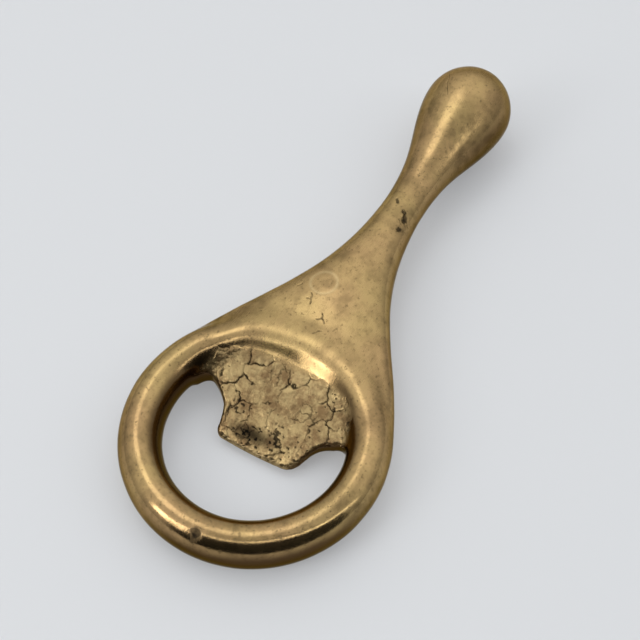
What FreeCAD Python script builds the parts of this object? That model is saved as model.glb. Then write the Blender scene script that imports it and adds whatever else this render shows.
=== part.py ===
import FreeCAD, Part
import math
import os
import Sketcher

# Cast-brass bottle opener in one piece: ring with a pry tongue, flat shoulder, round neck, bulb.
# Design axes before it is laid down: X from the ring's centre to the bulb, Z across the ring.

DIMENSIONS = {
    # ring: an oval bar swept once round the eye
    "ring_line_r": 23.5, "bar_half_w": 4.5, "bar_half_t": 5.5,
    # handle stations: distance from the ring's centre, half-width, half-thickness, edge radius
    "sta_a": 8.0, "wid_a": 26.4, "thk_a": 4.9, "edg_a": 3.6,
    "sta_b": 18.0, "wid_b": 22.6, "thk_b": 4.6, "edg_b": 3.4,
    "sta_c": 28.0, "wid_c": 16.85, "thk_c": 5.0, "edg_c": 3.8,
    "sta_d": 38.0, "wid_d": 11.2, "thk_d": 6.1, "edg_d": 4.8,
    "sta_e": 50.0, "wid_e": 6.75, "thk_e": 5.7, "edg_e": 5.1,
    "sta_f": 58.0, "wid_f": 5.3, "thk_f": 5.05, "edg_f": 4.85,
    "sta_g": 62.0, "wid_g": 4.88, "thk_g": 4.82, "edg_g": 4.76,
    "neck_x": 66.0, "neck_r": 4.7,
    # bulb: widest place, its radius, and the radius of the swelling towards it
    "bulb_x": 99.5, "bulb_r": 10.5, "belly_r": 28.0,
    # tongue outline seen from above, one half
    "tip_x": 1.95, "corner_x": 1.7, "corner_y": 7.4,
    "round_x": 1.3, "round_y": 8.7, "flank_x": 0.1, "flank_y": 9.3,
    "waist_x": 1.8, "waist_y": 9.9, "sweep_x": 4.5, "sweep_y": 11.8,
    "notch_x": 6.4, "notch_y": 14.7, "slot_x": 6.9, "slot_y": 16.3,
    "wall_x": 6.2, "wall_y": 18.0, "root_x": 8.0, "root_y": 22.0, "root_r": 23.8,
    # tongue seen from the side: heights of its top and its underside
    "tongue_back": 25.0, "tongue_front": 3.0,
    "top_front": 4.6, "top_mid_x": 7.5, "top_mid": 0.9, "top_back": 3.4,
    "low_front": 5.5, "low_mid_x": 9.0, "low_mid": 2.8, "low_back": 3.9,
    "tongue_blank": 12.0, "tongue_span": 50.0, "cut_height": 9.0,
    "recess_fillet": 3.0,
}


def make_sheet(doc):
    """Write every driving dimension into an aliased cell."""
    sheet = doc.addObject("Spreadsheet::Sheet", "Dimensions")
    for row, (alias, value) in enumerate(DIMENSIONS.items(), start=1):
        sheet.set(f"A{row}", alias)
        sheet.set(f"B{row}", str(value))
        sheet.setAlias(f"B{row}", alias)
    doc.recompute()
    return sheet


def origin_feature(body, role):
    """Return the body's own origin plane or axis with this role."""
    for feature in body.Origin.OriginFeatures:
        if feature.Role == role:
            return feature
    raise RuntimeError(role)


def new_sketch(body, name, plane, offset=None):
    """Attach an empty sketch to one of the body's origin planes, moved along its normal."""
    sketch = body.newObject("Sketcher::SketchObject", name)
    sketch.AttachmentSupport = [(origin_feature(body, plane), "")]
    sketch.MapMode = "FlatFace"
    if offset:
        sketch.setExpression("AttachmentOffset.Base.z", f"Dimensions.{offset}")
    return sketch


def drive(sketch, constraint, expression):
    """Add a constraint and tie its value to the sheet."""
    index = sketch.addConstraint(constraint)
    sketch.setExpression(f"Constraints[{index}]", expression)


def value_of(alias):
    """Sheet value of an alias; a leading minus turns its sign, None is zero."""
    if alias is None:
        return 0.0
    if alias.startswith("-"):
        return -DIMENSIONS[alias[1:]]
    return DIMENSIONS[alias]


def expression_of(alias):
    """Expression that reads an alias with its sign."""
    if alias.startswith("-"):
        return f"-Dimensions.{alias[1:]}"
    return f"Dimensions.{alias}"


def vector(spot):
    """Sketch position of a pair of aliases."""
    return FreeCAD.Vector(value_of(spot[0]), value_of(spot[1]), 0)


def pin(sketch, geo, pos, spot):
    """Fix a sketch point at a pair of aliases; None puts it on that axis."""
    for alias, kind, axis in ((spot[0], "DistanceX", -2), (spot[1], "DistanceY", -1)):
        if alias is None:
            sketch.addConstraint(Sketcher.Constraint("PointOnObject", geo, pos, axis))
        else:
            constraint = Sketcher.Constraint(kind, -1, 1, geo, pos, value_of(alias))
            drive(sketch, constraint, expression_of(alias))


def draw_outline(sketch, steps):
    """Draw a closed outline of pinned corners.

    Each step is (corner, through): a line to the next corner when through is None, an arc
    that passes the spot `through` otherwise.
    """
    count = len(steps)
    for number, (corner, through) in enumerate(steps):
        after = steps[(number + 1) % count][0]
        if through is None:
            sketch.addGeometry(Part.LineSegment(vector(corner), vector(after)))
        else:
            sketch.addGeometry(Part.Arc(vector(corner), vector(through), vector(after)))
    for number, (corner, through) in enumerate(steps):
        start, end = ends_of(sketch, number, vector(corner))
        before = (number - 1) % count
        before_end = ends_of(sketch, before, vector(steps[before][0]))[1]
        sketch.addConstraint(Sketcher.Constraint("Coincident", before, before_end, number, start))
        pin(sketch, number, start, corner)
    for number, (corner, through) in enumerate(steps):
        if through is not None:
            spot = sketch.addGeometry(Part.Point(vector(through)), True)
            pin(sketch, spot, 1, through)
            sketch.addConstraint(Sketcher.Constraint("PointOnObject", spot, 1, number))


def ends_of(sketch, geo, start):
    """Point numbers of an edge's start and end; arcs are stored counter-clockwise."""
    if sketch.getPoint(geo, 1).distanceToPoint(start) < 1e-6:
        return 1, 2
    return 2, 1


def oval_sketch(body, name, key):
    """Flat oval across the handle: two wide arcs and two edge arcs, all tangent."""
    wide = DIMENSIONS[f"wid_{key}"]
    thick = DIMENSIONS[f"thk_{key}"]
    edge = DIMENSIONS[f"edg_{key}"]
    face = (wide ** 2 - 2 * wide * edge + thick ** 2) / (2 * (thick - edge))
    side = FreeCAD.Vector(wide - edge, 0, 0)
    deep = FreeCAD.Vector(0, face - thick, 0)
    turn = (side + deep).getAngle(FreeCAD.Vector(1, 0, 0))
    up = FreeCAD.Vector(0, 0, 1)
    half = math.pi
    sketch = new_sketch(body, name, "YZ_Plane", f"sta_{key}")
    arcs = ((side, edge, -turn, turn), (-deep, face, turn, half - turn),
            (-side, edge, half - turn, half + turn), (deep, face, half + turn, 2 * half - turn))
    for centre, radius, first, last in arcs:
        sketch.addGeometry(Part.ArcOfCircle(Part.Circle(centre, up, radius), first, last))
    for geo in (0, 1):
        sketch.addConstraint(Sketcher.Constraint("Tangent", geo, 2, geo + 1, 1))
    for geo, axis in ((0, -1), (1, -2), (2, -1)):
        sketch.addConstraint(Sketcher.Constraint("PointOnObject", geo, 3, axis))
    for geo in (0, 2):
        sketch.addConstraint(Sketcher.Constraint("Vertical", geo, 1, geo, 2))
    sketch.addConstraint(Sketcher.Constraint("Symmetric", 3, 1, 1, 2, -1))
    sketch.addConstraint(Sketcher.Constraint("Symmetric", 3, 2, 1, 1, -1))
    sketch.addConstraint(Sketcher.Constraint("Equal", 0, 2))
    sketch.addConstraint(Sketcher.Constraint("Equal", 1, 3))
    w, t, e = (f"Dimensions.{part}_{key}" for part in ("wid", "thk", "edg"))
    drive(sketch, Sketcher.Constraint("Radius", 0, edge), e)
    drive(sketch, Sketcher.Constraint("DistanceX", -1, 1, 0, 3, wide - edge), f"{w} - {e}")
    drive(sketch, Sketcher.Constraint("Radius", 1, face),
          f"({w} * {w} - 2 * {w} * {e} + {t} * {t}) / (2 * ({t} - {e}))")
    return sketch


def neck_sketch(body, name):
    """Round section at the neck, drawn as four quarter arcs to match the ovals."""
    radius = DIMENSIONS["neck_r"]
    circle = Part.Circle(FreeCAD.Vector(0, 0, 0), FreeCAD.Vector(0, 0, 1), radius)
    quarter = math.pi / 2
    sketch = new_sketch(body, name, "YZ_Plane", "neck_x")
    for geo in range(4):
        first = (geo - 0.5) * quarter
        sketch.addGeometry(Part.ArcOfCircle(circle, first, first + quarter))
        sketch.addConstraint(Sketcher.Constraint("Coincident", geo, 3, -1, 1))
    for geo in range(3):
        sketch.addConstraint(Sketcher.Constraint("Coincident", geo, 2, geo + 1, 1))
    for geo in range(4):
        level = "Horizontal" if geo % 2 else "Vertical"
        sketch.addConstraint(Sketcher.Constraint(level, geo, 1, geo, 2))
    drive(sketch, Sketcher.Constraint("Radius", 0, radius), "Dimensions.neck_r")
    drive(sketch, Sketcher.Constraint("DistanceX", -1, 1, 0, 2, radius * 0.5 ** 0.5),
          "Dimensions.neck_r * sqrt(0.5)")
    return sketch


def add_handle(body):
    """Loft the handle from inside the ring to the neck, then clear the ring's eye out of it."""
    sections = [oval_sketch(body, f"Station_{key}", key) for key in "abcdefg"]
    sections.append(neck_sketch(body, "Station_neck"))
    loft = body.newObject("PartDesign::AdditiveLoft", "Handle")
    loft.Profile = sections[0]
    loft.Sections = sections[1:]
    eye = new_sketch(body, "EyeOutline", "XY_Plane")
    circle = Part.Circle(FreeCAD.Vector(0, 0, 0), FreeCAD.Vector(0, 0, 1), DIMENSIONS["ring_line_r"])
    eye.addGeometry(circle)
    eye.addConstraint(Sketcher.Constraint("Coincident", 0, 3, -1, 1))
    drive(eye, Sketcher.Constraint("Radius", 0, DIMENSIONS["ring_line_r"]), "Dimensions.ring_line_r")
    pocket = body.newObject("PartDesign::Pocket", "EyeClearance")
    pocket.Profile = eye
    pocket.SideType = "Symmetric"
    pocket.setExpression("Length", "4 * Dimensions.bar_half_t")


def add_ring(body):
    """Sweep the oval bar once round the eye."""
    line = DIMENSIONS["ring_line_r"]
    wide = DIMENSIONS["bar_half_w"]
    thick = DIMENSIONS["bar_half_t"]
    section = new_sketch(body, "BarSection", "XZ_Plane")
    centre = FreeCAD.Vector(-line, 0, 0)
    section.addGeometry(Part.Ellipse(centre + FreeCAD.Vector(0, thick, 0),
                                     centre + FreeCAD.Vector(wide, 0, 0), centre))
    section.exposeInternalGeometry(0)
    section.addConstraint(Sketcher.Constraint("PointOnObject", 0, 3, -1))
    section.addConstraint(Sketcher.Constraint("Vertical", 1))
    drive(section, Sketcher.Constraint("DistanceX", -1, 1, 0, 3, -line), "-Dimensions.ring_line_r")
    drive(section, Sketcher.Constraint("Distance", 1, 2 * thick), "2 * Dimensions.bar_half_t")
    drive(section, Sketcher.Constraint("Distance", 2, 2 * wide), "2 * Dimensions.bar_half_w")
    ring = body.newObject("PartDesign::Revolution", "Ring")
    ring.Profile = section
    ring.ReferenceAxis = (origin_feature(body, "Z_Axis"), [""])
    ring.Angle = 360


def add_bulb(body):
    """Turn the neck and the bulb round the handle's axis."""
    neck_x, neck_r = DIMENSIONS["neck_x"], DIMENSIONS["neck_r"]
    bulb_x, bulb_r, belly = DIMENSIONS["bulb_x"], DIMENSIONS["bulb_r"], DIMENSIONS["belly_r"]
    rise, run = bulb_r - neck_r, bulb_x - neck_x
    hollow = (rise ** 2 + run ** 2) / (2 * rise) - belly
    place = belly / (belly + hollow)
    meet = FreeCAD.Vector(bulb_x - run * place, bulb_r - rise * place, 0)
    up = FreeCAD.Vector(0, 0, 1)
    neck = FreeCAD.Vector(neck_x, neck_r, 0)
    crown = FreeCAD.Vector(bulb_x, bulb_r, 0)
    end = FreeCAD.Vector(bulb_x + bulb_r, 0, 0)
    foot = FreeCAD.Vector(neck_x, 0, 0)
    profile = new_sketch(body, "BulbProfile", "XZ_Plane")
    for centre_y, radius, first, last in ((neck_r + hollow, hollow, neck, meet),
                                          (bulb_r - belly, belly, crown, meet),
                                          (0.0, bulb_r, end, crown)):
        centre_x = neck_x if first == neck else bulb_x
        circle = Part.Circle(FreeCAD.Vector(centre_x, centre_y, 0), up, radius)
        profile.addGeometry(Part.ArcOfCircle(circle, circle.parameter(first), circle.parameter(last)))
    profile.addGeometry(Part.LineSegment(end, foot))
    profile.addGeometry(Part.LineSegment(foot, neck))
    profile.addConstraint(Sketcher.Constraint("Tangent", 0, 2, 1, 2))
    profile.addConstraint(Sketcher.Constraint("Coincident", 1, 1, 2, 2))
    profile.addConstraint(Sketcher.Constraint("Coincident", 2, 1, 3, 1))
    profile.addConstraint(Sketcher.Constraint("Coincident", 3, 2, 4, 1))
    profile.addConstraint(Sketcher.Constraint("Coincident", 4, 2, 0, 1))
    profile.addConstraint(Sketcher.Constraint("PointOnObject", 3, 1, -1))
    profile.addConstraint(Sketcher.Constraint("PointOnObject", 3, 2, -1))
    profile.addConstraint(Sketcher.Constraint("Vertical", 4))
    profile.addConstraint(Sketcher.Constraint("Vertical", 0, 3, 0, 1))
    profile.addConstraint(Sketcher.Constraint("Vertical", 1, 3, 1, 1))
    profile.addConstraint(Sketcher.Constraint("PointOnObject", 2, 3, -1))
    profile.addConstraint(Sketcher.Constraint("Vertical", 2, 3, 2, 2))
    drive(profile, Sketcher.Constraint("DistanceX", -1, 1, 3, 2, neck_x), "Dimensions.neck_x")
    drive(profile, Sketcher.Constraint("DistanceY", 3, 2, 4, 2, neck_r), "Dimensions.neck_r")
    drive(profile, Sketcher.Constraint("DistanceX", -1, 1, 2, 3, bulb_x), "Dimensions.bulb_x")
    drive(profile, Sketcher.Constraint("Radius", 2, bulb_r), "Dimensions.bulb_r")
    drive(profile, Sketcher.Constraint("Radius", 1, belly), "Dimensions.belly_r")
    bulb = body.newObject("PartDesign::Revolution", "Bulb")
    bulb.Profile = profile
    bulb.ReferenceAxis = (origin_feature(body, "X_Axis"), [""])
    bulb.Angle = 360


def make_tongue(doc):
    """Pry tongue: an outline cut down to its curved top and its arched underside."""
    body = doc.addObject("PartDesign::Body", "Tongue")
    outline = new_sketch(body, "TongueOutline", "XY_Plane")
    draw_outline(outline, [
        (("-corner_x", "-corner_y"), ("-tip_x", None)),
        (("-corner_x", "corner_y"), ("-round_x", "round_y")),
        (("-flank_x", "flank_y"), None),
        (("waist_x", "waist_y"), ("sweep_x", "sweep_y")),
        (("notch_x", "notch_y"), ("slot_x", "slot_y")),
        (("wall_x", "wall_y"), None),
        (("root_x", "root_y"), ("root_r", None)),
        (("root_x", "-root_y"), None),
        (("wall_x", "-wall_y"), ("slot_x", "-slot_y")),
        (("notch_x", "-notch_y"), ("sweep_x", "-sweep_y")),
        (("waist_x", "-waist_y"), None),
        (("-flank_x", "-flank_y"), ("-round_x", "-round_y")),
    ])
    pad = body.newObject("PartDesign::Pad", "TongueBlank")
    pad.Profile = outline
    pad.SideType = "Symmetric"
    pad.setExpression("Length", "Dimensions.tongue_blank")
    above = [
        (("-tongue_front", "-top_front"), ("top_mid_x", "top_mid")),
        (("tongue_back", "top_back"), None),
        (("tongue_back", "cut_height"), None),
        (("-tongue_front", "cut_height"), None),
    ]
    below = [
        (("-tongue_front", "-low_front"), ("low_mid_x", "-low_mid")),
        (("tongue_back", "-low_back"), None),
        (("tongue_back", "-cut_height"), None),
        (("-tongue_front", "-cut_height"), None),
    ]
    for name, steps in (("TongueTop", above), ("TongueUnderside", below)):
        profile = new_sketch(body, f"{name}Profile", "XZ_Plane")
        draw_outline(profile, steps)
        pocket = body.newObject("PartDesign::Pocket", name)
        pocket.Profile = profile
        pocket.SideType = "Symmetric"
        pocket.setExpression("Length", "Dimensions.tongue_span")
    return body


def soften_recess(body, join):
    """Round the corner where the tongue's top runs into the ring's inner wall."""
    inner = DIMENSIONS["ring_line_r"] - DIMENSIONS["bar_half_w"]
    names = []
    for number, edge in enumerate(join.Shape.Edges, start=1):
        middle = edge.valueAt((edge.FirstParameter + edge.LastParameter) / 2)
        reach = math.hypot(middle.x, middle.y)
        ahead = middle.x > DIMENSIONS["wall_x"] + 1
        if ahead and middle.z > 0 and inner < reach < inner + 2:
            names.append(f"Edge{number}")
    fillet = body.newObject("PartDesign::Fillet", "RecessFillet")
    fillet.Base = (join, names)
    fillet.setExpression("Radius", "Dimensions.recess_fillet")


def make_casting(doc):
    """The whole casting, laid down in its resting pose."""
    body = doc.addObject("PartDesign::Body", "Casting")
    body.Label = "opener_casting"
    add_handle(body)
    add_ring(body)
    add_bulb(body)
    doc.recompute()
    tongue = make_tongue(doc)
    doc.recompute()
    join = body.newObject("PartDesign::Boolean", "JoinTongue")
    join.Type = "Fuse"
    join.addObject(tongue)
    doc.recompute()
    soften_recess(body, join)
    return body


def lay_down(body):
    """Turn and lift the casting into its resting pose, then centre its length on the origin."""
    sheet = "Dimensions."
    lean = f"asin(({sheet}bulb_r - {sheet}bar_half_t) / ({sheet}bulb_x + {sheet}ring_line_r))"
    wide = f"{sheet}bar_half_w * {sheet}bar_half_w"
    thick = f"{sheet}bar_half_t * {sheet}bar_half_t"
    down = f"sqrt({thick} * cos({lean}) ^ 2 + {wide} * sin({lean}) ^ 2)"
    ahead = f"sqrt({wide} * cos({lean}) ^ 2 + {thick} * sin({lean}) ^ 2)"
    span = f"({sheet}bulb_x - {sheet}ring_line_r) * cos({lean}) + {sheet}bulb_r - {ahead}"
    body.Placement.Rotation = FreeCAD.Rotation(FreeCAD.Vector(0, -1, 0), 1)
    body.setExpression("Placement.Rotation.Angle", lean)
    body.setExpression("Placement.Base.x", f"-({span}) / 2")
    body.setExpression("Placement.Base.z", f"{sheet}ring_line_r * sin({lean}) + {down}")


def main():
    """Build, check and export the casting."""
    doc = FreeCAD.newDocument("opener")
    make_sheet(doc)
    body = make_casting(doc)
    lay_down(body)
    doc.recompute()
    for item in doc.Objects:
        if "Invalid" in item.State or "Error" in item.State:
            raise RuntimeError(f"{item.Label}: {item.State}")
    if not body.Shape.isValid() or len(body.Shape.Solids) != 1:
        raise RuntimeError(f"{body.Label} isn't one valid solid")
    os.makedirs("parts", exist_ok=True)
    body.Shape.exportStep(f"parts/{body.Label}.step")


main()
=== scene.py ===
"""Aged cast-brass bottle opener, one casting.

It has a ring, a pry tongue, a shoulder, a neck and a bulb. Lengths in the shape classes are
millimetres in the maker's axes: X from the ring's centre to the bulb, Z across the ring.
`RestingPose` lays the finished mesh down in the frame's metres.
"""

import logging
import math
from dataclasses import dataclass, field
from enum import Enum, IntEnum

import bpy
import numpy as np
from mathutils import Matrix, Vector

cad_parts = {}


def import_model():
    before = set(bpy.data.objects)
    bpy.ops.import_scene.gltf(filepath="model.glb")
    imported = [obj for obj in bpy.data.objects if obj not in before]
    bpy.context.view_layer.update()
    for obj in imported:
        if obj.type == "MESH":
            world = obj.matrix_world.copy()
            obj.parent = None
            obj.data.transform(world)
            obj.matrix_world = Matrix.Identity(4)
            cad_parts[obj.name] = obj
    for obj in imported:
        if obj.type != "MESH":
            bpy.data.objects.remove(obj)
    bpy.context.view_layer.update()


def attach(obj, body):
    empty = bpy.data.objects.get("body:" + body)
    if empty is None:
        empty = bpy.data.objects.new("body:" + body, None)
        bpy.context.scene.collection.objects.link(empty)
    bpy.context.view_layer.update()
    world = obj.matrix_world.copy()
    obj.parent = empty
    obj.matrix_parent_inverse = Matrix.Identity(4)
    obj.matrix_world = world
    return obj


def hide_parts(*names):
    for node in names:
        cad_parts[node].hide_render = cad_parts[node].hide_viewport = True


LOG = logging.getLogger("opener")
MM = 0.001
FAR = 99.0
TINY = 1e-12
Array = np.ndarray
Point = tuple[float, float]
Socket = bpy.types.NodeSocket


# ---------------------------------------------------------------- numbers on whole arrays

def smoothstep(low: float, high: float, value: Array) -> Array:
    """Ease from 0 at low to 1 at high with flat ends."""
    t = np.clip((value - low) / (high - low), 0.0, 1.0)
    return t * t * (3.0 - 2.0 * t)


def soft_min(a: Array, b: Array, reach: float | Array) -> Array:
    """Smaller of two distances, with the corner between them filled by a fillet of that reach."""
    gap = np.maximum(reach - np.abs(a - b), 0.0) / reach
    return np.minimum(a, b) - gap * gap * reach * 0.25


def soft_max(a: Array, b: Array, reach: float | Array) -> Array:
    """Larger of two distances, with the edge between them rounded by that reach."""
    return -soft_min(-a, -b, reach)


@dataclass(frozen=True)
class Curve:
    """Piecewise cubic with a slope at each station."""

    knots: Array
    values: Array
    slopes: Array

    def at(self, place: Array) -> Array:
        """Hermite cubic between the two stations either side of each place.

        Args:
            place: where to read the curve; past either end the end's value holds.

        Returns:
            One value for each place.
        """
        place = np.clip(place, self.knots[0], self.knots[-1])
        k = np.clip(np.searchsorted(self.knots, place) - 1, 0, len(self.knots) - 2)
        span = self.knots[k + 1] - self.knots[k]
        t = (place - self.knots[k]) / span
        before = (1 + 2 * t) * self.values[k] + t * span * self.slopes[k]
        after = (3 - 2 * t) * self.values[k + 1] + (t - 1) * span * self.slopes[k + 1]
        return (1 - t) ** 2 * before + t * t * after


def lengthwise_curve(stations: tuple[Point, ...], first_slope: float) -> Curve:
    """Cubic spline through stations, with a given first slope and a level last one.

    Args:
        stations: pairs of place and value, places rising.
        first_slope: slope at the first station.

    Returns:
        The curve, ready to be read at any places.
    """
    knots, values = np.array(stations).T
    count = len(knots)
    step = np.diff(knots)
    rise = np.diff(values) / step
    system = np.eye(count)
    right = np.zeros(count)
    right[0] = first_slope
    for row in range(1, count - 1):
        before, after = step[row - 1], step[row]
        system[row, row - 1:row + 2] = (after, 2.0 * (before + after), before)
        right[row] = 3.0 * (after * rise[row - 1] + before * rise[row])
    return Curve(knots, values, np.linalg.solve(system, right))


class Draw(IntEnum):
    """Seeds of the random draws."""

    HANDWORK = 3
    DIMPLES = 4
    TONGUE_SWELL = 5
    TONGUE_SKIN = 6
    PLATE_PLACES = 7
    PLATE_TONES = 8
    CRACK_BREAKS = 11
    FINE_CRACK_BREAKS = 12
    PITS = 21
    PIT_CLUSTERS = 22
    FLAW_EDGES = 31
    CRACK_BENDS_X = 41
    CRACK_BENDS_Y = 42
    TARNISH_PATCHES = 51
    TARNISH_BLOTCHES = 52
    HAIR_CRACK_BREAKS = 61


@dataclass(frozen=True)
class Grain:
    """Seeded lattice noise: random numbers on a cubic lattice, eased between its corners."""

    draw: Draw
    size: int = 64
    octave_shift: float = 17.3

    def at(self, p: Array, wavelength: float, octaves: int = 1) -> Array:
        """Noise from about -1 to 1.

        Args:
            p: points, one a row.
            wavelength: lattice spacing of the first octave.
            octaves: how many times the noise is added at half the spacing and height.

        Returns:
            One number for each point.
        """
        table = np.random.default_rng(int(self.draw)).uniform(-1.0, 1.0, (self.size,) * 3)
        total = np.zeros(len(p))
        height = 1.0
        for octave in range(octaves):
            q = p / (wavelength / 2 ** octave) + self.octave_shift * (octave + 1)
            base = np.floor(q).astype(int)
            t = q - base
            t = t * t * t * (t * (t * 6 - 15) + 10)
            value = np.zeros(len(p))
            for corner in range(8):
                pick = np.array([corner & 1, corner >> 1 & 1, corner >> 2 & 1])
                near = np.where(pick, t, 1 - t).prod(axis=1)
                i, j, k = ((base + pick) % self.size).T
                value += near * table[i, j, k]
            total += height * value
            height *= 0.5
        return total


@dataclass(frozen=True)
class Swell:
    """Rolling unevenness of a height and a wavelength in millimetres."""

    height: float
    draw: Draw
    wavelength: float
    octaves: int = 1

    def at(self, p: Array) -> Array:
        """Its height at each point: the grain times the height."""
        return self.height * Grain(self.draw).at(p, self.wavelength, self.octaves)


def circle_through(a: Array, b: Array, c: Array) -> tuple[Array, float]:
    """Centre and radius of the circle through three places of a plane.

    The centre is as far from a as from b and as far from a as from c, two linear equations.

    Args:
        a: first place.
        b: second place.
        c: third place, out of line with the others.

    Returns:
        The centre and the radius.
    """
    system = 2.0 * np.array([b - a, c - a])
    centre = np.linalg.solve(system, np.array([b @ b - a @ a, c @ c - a @ a]))
    return centre, float(np.linalg.norm(a - centre))


def arc_through(start: Point, middle: Point, end: Point, count: int) -> Array:
    """Points along the circle arc from start through middle to end.

    Args:
        start: first point of the arc.
        middle: any point on the way.
        end: where the arc ends; it is left out, because the next arc starts there.
        count: how many points.

    Returns:
        The points, one a row.
    """
    a, b, c = (np.asarray(place, float) for place in (start, middle, end))
    centre, radius = circle_through(a, b, c)
    angles = [math.atan2(*(place - centre)[::-1]) for place in (a, b, c)]
    turn = (angles[2] - angles[0]) % (2 * math.pi)
    if (angles[1] - angles[0]) % (2 * math.pi) > turn:
        turn -= 2 * math.pi
    t = angles[0] + np.linspace(0.0, turn, count, endpoint=False)
    return centre + radius * np.stack([np.cos(t), np.sin(t)], 1)


def outline_distance(outline: Array, x: Array, y: Array) -> Array:
    """Signed distance in the plane to a closed outline, negative inside.

    The distance is the least over the outline's segments, and the sign comes from how many
    segments a line to one side crosses.

    Args:
        outline: the outline's corners in order, one a row.
        x: first coordinate of each place.
        y: second coordinate of each place.

    Returns:
        One distance for each place.
    """
    point = np.stack([x, y], 1)[:, None, :]
    start = outline[None]
    run = np.roll(outline, -1, 0)[None] - start
    t = np.clip(((point - start) * run).sum(-1) / np.maximum((run * run).sum(-1), TINY), 0.0, 1.0)
    reach = np.sqrt((((point - start) - t[..., None] * run) ** 2).sum(-1)).min(1)
    sy, ey = start[..., 1], np.roll(outline, -1, 0)[None, :, 1]
    py, px = point[..., 1], point[..., 0]
    crosses = (sy > py) != (ey > py)
    slope = run[..., 0] / np.where(run[..., 1] == 0.0, TINY, run[..., 1])
    inside = (crosses & (px < start[..., 0] + (py - sy) * slope)).sum(1) % 2 == 1
    return np.where(inside, -reach, reach)


@dataclass
class PlanDistance:
    """An outline's signed distance, worked out once on a fine plan grid and read between."""

    outline: Array
    low: Point
    high: Point
    step: float = 0.25

    def __post_init__(self) -> None:
        """Fill the grid between the low and the high corner."""
        counts = np.ceil(np.subtract(self.high, self.low) / self.step).astype(int) + 2
        axes = [self.low[k] + self.step * np.arange(counts[k]) for k in range(2)]
        x, y = np.meshgrid(*axes, indexing="ij")
        self.grid = outline_distance(self.outline, x.ravel(), y.ravel()).reshape(counts)

    def at(self, x: Array, y: Array) -> Array:
        """Bilinear reading of the grid.

        Args:
            x: first coordinate of each place.
            y: second coordinate of each place.

        Returns:
            One distance for each place.
        """
        last = np.array(self.grid.shape) - 1.001
        q = np.clip((np.stack([x, y], 1) - self.low) / self.step, 0.0, last)
        i, j = q.astype(int).T
        u, v = (q - np.floor(q)).T
        g = self.grid
        return ((1 - u) * ((1 - v) * g[i, j] + v * g[i, j + 1])
                + u * ((1 - v) * g[i + 1, j] + v * g[i + 1, j + 1]))


# ---------------------------------------------------------------- the casting's members

@dataclass(frozen=True)
class RingBar:
    """The ring: an oval bar carried once round the eye."""

    line_radius: float = 23.5
    half_width: float = 4.5
    half_thickness: float = 5.5
    drawn_in: float = 1.9
    thinned: float = 1.0
    drawn_middle: float = -1.0
    drawn_span: float = 13.0
    drawn_start: tuple[float, float] = (0.0, 9.0)

    def behind(self, p: Array) -> Array:
        """How far a place is behind the tongue, 0 to 1: a bell curve across the handle."""
        return (np.exp(-(((p[:, 1] - self.drawn_middle) / self.drawn_span) ** 2))
                * smoothstep(*self.drawn_start, p[:, 0]))

    def line(self, p: Array) -> Array:
        """Radius of the bar's line: a circle, drawn in a little behind the tongue."""
        return self.line_radius - self.drawn_in * self.behind(p)

    def distance(self, p: Array) -> Array:
        """Distance to the oval bar: the section's oval measure over its steepness.

        Args:
            p: points, one a row.

        Returns:
            One distance for each point, negative inside.
        """
        across = np.hypot(p[:, 0], p[:, 1]) - self.line(p)
        thick = self.half_thickness - self.thinned * self.behind(p)
        u, v = across / self.half_width, p[:, 2] / thick
        measure = np.hypot(u, v)
        steep = np.hypot(u / self.half_width, v / thick)
        return measure * (measure - 1.0) / np.maximum(steep, 1e-6)


@dataclass
class Handle:
    """Shoulder, neck and bulb: a rounded section carried along the handle's axis.

    The stations are pairs of place along X and half-width or half-thickness there.
    """

    ring: RingBar
    start_x: float = -4.0
    bulb_x: float = 99.15
    cap_length: float = 10.75
    brink_in: float = 1.8
    side_brink: float = 1.0
    middle_brink: float = 3.6
    width_slope: float = 0.14
    shoulder_power: float = 2.9
    neck_power: float = 2.0
    rounding_span: tuple[float, float] = (23.0, 58.0)
    least_steep: float = 0.02
    width_stations: tuple[Point, ...] = (
        (-4.0, 27.2), (8.0, 26.5), (23.1, 19.65), (39.8, 10.3), (58.5, 5.15), (80.85, 6.34),
        (99.15, 10.46),
    )
    thickness_stations: tuple[Point, ...] = (
        (-4.0, 2.0), (8.0, 4.3), (21.0, 5.3), (38.0, 6.0), (50.0, 5.75), (62.0, 4.85),
        (72.0, 4.86), (80.85, 6.34), (90.0, 8.86), (99.15, 10.46),
    )

    def __post_init__(self) -> None:
        """Run the section's two curves through their stations."""
        self.half_width = lengthwise_curve(self.width_stations, self.width_slope)
        self.half_thickness = lengthwise_curve(self.thickness_stations, 0.0)

    def distance(self, p: Array) -> Array:
        """Distance to the handle.

        The section is |y/w|^n + |z/t|^n = 1 with n easing from a flat 2.9 on the shoulder to a
        round 2 at the neck. Past the bulb's widest place it is an ellipsoid, and inside the
        ring's centre line there is no handle.

        Args:
            p: points, one a row.

        Returns:
            One distance for each point, negative inside.
        """
        x, y, z = p.T
        wide, thick = self.half_width.at(x), self.half_thickness.at(x)
        rounding = self.shoulder_power - self.neck_power
        power = self.shoulder_power - rounding * smoothstep(*self.rounding_span, x)
        u, v = np.abs(y) / wide + 1e-9, np.abs(z) / thick + 1e-9
        measure = (u ** power + v ** power) ** (1.0 / power)
        lift = measure ** (1.0 - power)
        steep = np.hypot(lift * u ** (power - 1) / wide, lift * v ** (power - 1) / thick)
        along = (measure - 1.0) / np.maximum(steep, self.least_steep)
        end = self.width_stations[-1][1]
        cap = np.sqrt(((x - self.bulb_x) / self.cap_length) ** 2 + (y / end) ** 2 + (z / end) ** 2)
        body = np.where(x > self.bulb_x, (cap - 1.0) * end, along)
        body = np.maximum(body, self.start_x - x)
        behind = self.ring.behind(p)
        brink = self.ring.line(p) - self.brink_in * behind - np.hypot(x, y)
        return soft_max(body, brink, self.side_brink + self.middle_brink * behind)


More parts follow.
